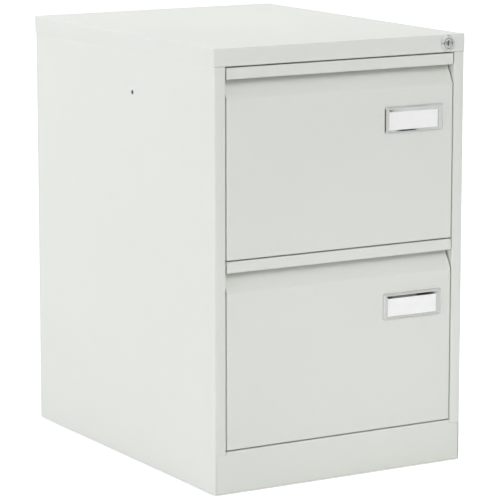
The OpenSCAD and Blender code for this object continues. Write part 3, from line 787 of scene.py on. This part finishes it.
caseMiddle = (0, 0, 0.36)
plain = (1, 1, 1)
lampValues = {
    "overhead": {"place": (0.6, 0.8, 6.5), "size": 4.5, "watts": 158, "colour": (0.99, 0.97, 1),
                 "aim": caseMiddle},
    "frontHigh": {"place": (0.8, -5.2, 5.2), "size": 3.6, "watts": 131, "colour": plain, "aim": caseMiddle},
    "frontLow": {"place": (0.6, -5.8, 3.4), "size": 3.6, "watts": 74, "colour": plain,
                 "aim": (0, -0.8, -0.9)},
    "leftPanel": {"place": (-6.4, -0.6, 2.4), "size": 4.2, "watts": 262, "colour": (0.98, 0.96, 1),
                  "aim": caseMiddle},
    "rightPanel": {"place": (6.3, 0.2, 2.2), "size": 3.4, "watts": 144, "colour": plain, "aim": caseMiddle},
    "rearPanel": {"place": (-0.8, 6.2, 2.4), "size": 3.4, "watts": 144, "colour": plain, "aim": caseMiddle},
    # small fill light before the plinth, which chrome doesn't see
    "kicker": {"place": (0.05, -0.76, 0.06), "size": 0.5, "watts": 0.3, "colour": plain,
               "aim": (0, -0.3, 0.03), "hidden": True},
}

# cards that only mirror finishes see, so chrome keeps its contrast; turned about x, then about z
flagValues = {
    "flagLeft": {"place": (-3.5, -2.5, 0.01), "size": (2.4, 4.4), "turn": (0, 33), "shade": "black"},
    "flagFrontLeft": {"place": (0.3195, -0.534, 0.01), "size": (0.0103, 0.13), "turn": (0, 21),
                      "shade": "black"},
    "flagFrontMiddle": {"place": (0.351, -0.534, 0.01), "size": (0.0485, 0.13), "turn": (0, 21),
                        "shade": "grey"},
    "flagFrontRight": {"place": (0.3965, -0.534, 0.01), "size": (0.0365, 0.13), "turn": (0, 21),
                       "shade": "black"},
    "flagCorner": {"place": (0.605, -0.853, 0.01), "size": (0.013, 0.15), "turn": (0, 24), "shade": "black"},
    "flagOver": {"place": (0.4517, -0.577, 0.985), "size": (0.04, 0.09), "turn": (32, 0), "shade": "black"},
    "flagHigh": {"place": (1.64, -2.65, 1.7), "size": (0.5, 0.3), "turn": (-70, 30), "shade": "black"},
    "whiteLeft": {"place": (-1.0, -1.0, 0.01), "size": (0.4, 1.7), "turn": (0, 34), "shade": "white"},
}

shadeValues = {
    "black": (0.03, 0.03, 0.032, 1),
    "grey": (0.26, 0.26, 0.26, 1),
}
weaveValues = {"scale": 40, "range": (0.3, 0.7), "darker": 0.8}


def emptyTree(datablock):
    datablock.use_nodes = True
    datablock.node_tree.nodes.clear()
    return datablock.node_tree


def flatSheet(name, size, material, parts=2):
    bm = bmesh.new()
    bmesh.ops.create_grid(bm, x_segments=parts, y_segments=parts, size=0.5)
    bmesh.ops.scale(bm, vec=(size[0], size[1], 1), verts=bm.verts)
    mesh = bpy.data.meshes.new(name)
    bm.to_mesh(mesh)
    bm.free()
    mesh.materials.append(material)
    sheet = bpy.data.objects.new(name, mesh)
    bpy.context.scene.collection.objects.link(sheet)
    return sheet


def hideFromCamera(sheet):
    sheet.visible_camera = False
    sheet.visible_diffuse = False
    sheet.visible_shadow = False


def makeFloor(values):
    material = bpy.data.materials.new("floorSweep")
    tree = emptyTree(material)
    path = addNode(tree, "ShaderNodeLightPath").outputs
    mirror = mathNode(tree, "MAXIMUM", path["Is Glossy Ray"], path["Is Transmission Ray"])
    apart = addNode(tree, "ShaderNodeVectorMath", operation="LENGTH")
    link(tree, objectPlace(tree), apart.inputs[0])
    level = rangeNode(tree, apart.outputs["Value"], values["nearEdge"], values["farEdge"],
                      values["nearLift"], values["farLift"], smooth=True)
    lift = mathNode(tree, "MULTIPLY", path["Is Camera Ray"], level)
    lift = mathNode(tree, "MULTIPLY_ADD", mirror, values["floorGlint"], lift)
    diffuse = addNode(tree, "ShaderNodeBsdfDiffuse", {"Color": values["floorColour"]})
    glow = addNode(tree, "ShaderNodeEmission")
    link(tree, lift, glow.inputs["Strength"])
    both = addNode(tree, "ShaderNodeAddShader")
    link(tree, diffuse.outputs[0], both.inputs[0])
    link(tree, glow.outputs[0], both.inputs[1])
    link(tree, both.outputs[0], addNode(tree, "ShaderNodeOutputMaterial").inputs["Surface"])
    flatSheet("floor", (values["floorSize"], values["floorSize"]), material, parts=8)


def makeWorld(values):
    world = bpy.data.worlds.new("studio")
    bpy.context.scene.world = world
    tree = emptyTree(world)
    path = addNode(tree, "ShaderNodeLightPath").outputs
    mirror = mathNode(tree, "MAXIMUM", path["Is Glossy Ray"], path["Is Transmission Ray"])
    seen = mathNode(tree, "MAXIMUM", path["Is Camera Ray"], mirror)
    light = addNode(tree, "ShaderNodeBackground", {"Color": values["ambient"]})
    white = addNode(tree, "ShaderNodeBackground", {"Color": (1, 1, 1, 1)})
    pick = addNode(tree, "ShaderNodeMixShader")
    link(tree, seen, pick.inputs[0])
    link(tree, light.outputs[0], pick.inputs[1])
    link(tree, white.outputs[0], pick.inputs[2])
    link(tree, pick.outputs[0], addNode(tree, "ShaderNodeOutputWorld").inputs["Surface"])


def makeLampFace(strength):
    material = bpy.data.materials.new("softFace")
    material.cycles.emission_sampling = "NONE"
    tree = emptyTree(material)
    glow = addNode(tree, "ShaderNodeEmission", {"Strength": strength})
    link(tree, glow.outputs[0], addNode(tree, "ShaderNodeOutputMaterial").inputs["Surface"])
    return material


def makeShade(name, colour, values):
    material, tree, shader = newMaterial(name + "Cloth", Roughness=0.9, Specular_IOR_Level=0.1)
    threads = noiseNode(tree, objectPlace(tree), values["scale"])
    weave = rangeNode(tree, threads, *values["range"])
    darker = tuple(values["darker"] * part for part in colour[:3]) + (1,)
    link(tree, blendColour(tree, weave, darker, colour), shader.inputs["Base Color"])
    return material


def makeLamp(name, values, stage):
    data = bpy.data.lights.new(name, "AREA")
    data.shape = "SQUARE"
    data.size = values["size"]
    data.energy = values["watts"]
    data.color = values["colour"]
    lamp = bpy.data.objects.new(name, data)
    bpy.context.scene.collection.objects.link(lamp)
    lamp.location = values["place"]
    aim = Vector(values["aim"]) - lamp.location
    lamp.rotation_euler = aim.to_track_quat("-Z", "Y").to_euler()
    lamp.visible_camera = False
    if values.get("hidden"):
        lamp.visible_glossy = False
        return
    side = values["size"] * stage["faceMargin"]
    face = flatSheet(name + "Face", (side, side), shades["white"])
    face.location = lamp.location + aim.normalized() * stage["faceGap"]
    face.rotation_euler = lamp.rotation_euler
    hideFromCamera(face)


def makeFlag(name, values):
    flag = flatSheet(name, values["size"], shades[values["shade"]], parts=4)
    flag.location = values["place"]
    aboutX, aboutZ = values["turn"]
    flag.rotation_euler = (math.radians(aboutX), 0, math.radians(aboutZ))
    hideFromCamera(flag)


shades = {name: makeShade(name, colour, weaveValues) for name, colour in shadeValues.items()}
shades["white"] = makeLampFace(stageValues["lampFace"])
makeFloor(stageValues)
makeWorld(stageValues)
for name, values in flagValues.items():
    makeFlag(name, values)
for name, values in lampValues.items():
    makeLamp(name, values, stageValues)
bpy.context.scene.view_settings.view_transform = "Standard"
print("stage lit")
